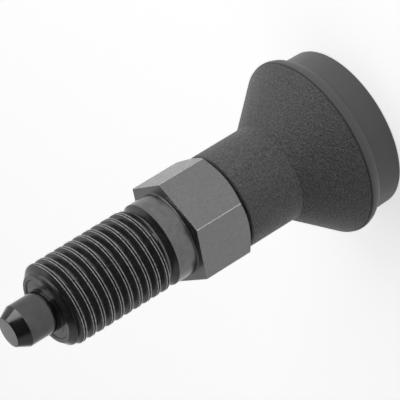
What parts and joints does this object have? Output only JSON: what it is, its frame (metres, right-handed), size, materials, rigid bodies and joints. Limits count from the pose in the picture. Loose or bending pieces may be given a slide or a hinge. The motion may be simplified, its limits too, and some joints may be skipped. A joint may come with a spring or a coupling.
{
  "type": "indexing plunger",
  "caption": "Spring-loaded indexing plunger: threaded steel sleeve with hexagon, sliding locking pin and moulded pull grip.",
  "frame": {"origin": "centre of the flat end of the grip cap, on which the plunger stands", "axes": "+Z along the common axis, from the cap through the sleeve to the pin's tip; +X through one corner of the hexagon"},
  "size_m": [0.026, 0.0258, 0.0566],
  "materials": {
    "blackened_steel": "black oxide, satin",
    "hardened_pin": "ground and blackened",
    "spring_steel": "drawn wire",
    "moulded_grip": "fine moulded grain",
    "moulded_cap": "smooth matt",
    "plated_steel": "zinc plated"
  },
  "bodies": {
    "sleeve": {"threaded_sleeve": "blackened_steel", "guide_bush": "blackened_steel"},
    "spring_seat": {"spring": "spring_steel"},
    "plunger": {"locking_pin": "hardened_pin", "grip_body": "moulded_grip", "grip_cap": "moulded_cap", "fixing_screw": "plated_steel", "fixing_washer": "plated_steel"}
  },
  "joints": [
    {"name": "pin_pull", "type": "slide", "parent": "sleeve", "child": "spring_seat", "axis": [0, 0, -1], "range_m": [0, 0.006], "stiffness_N_per_m": 1300, "springref_m": -0.0046, "deforming": ["spring"]},
    {"name": "knob_turn", "type": "hinge", "parent": "spring_seat", "child": "plunger", "pos_m": [0, 0, 0], "axis": [0, 0, 1], "continuous": true}
  ]
}
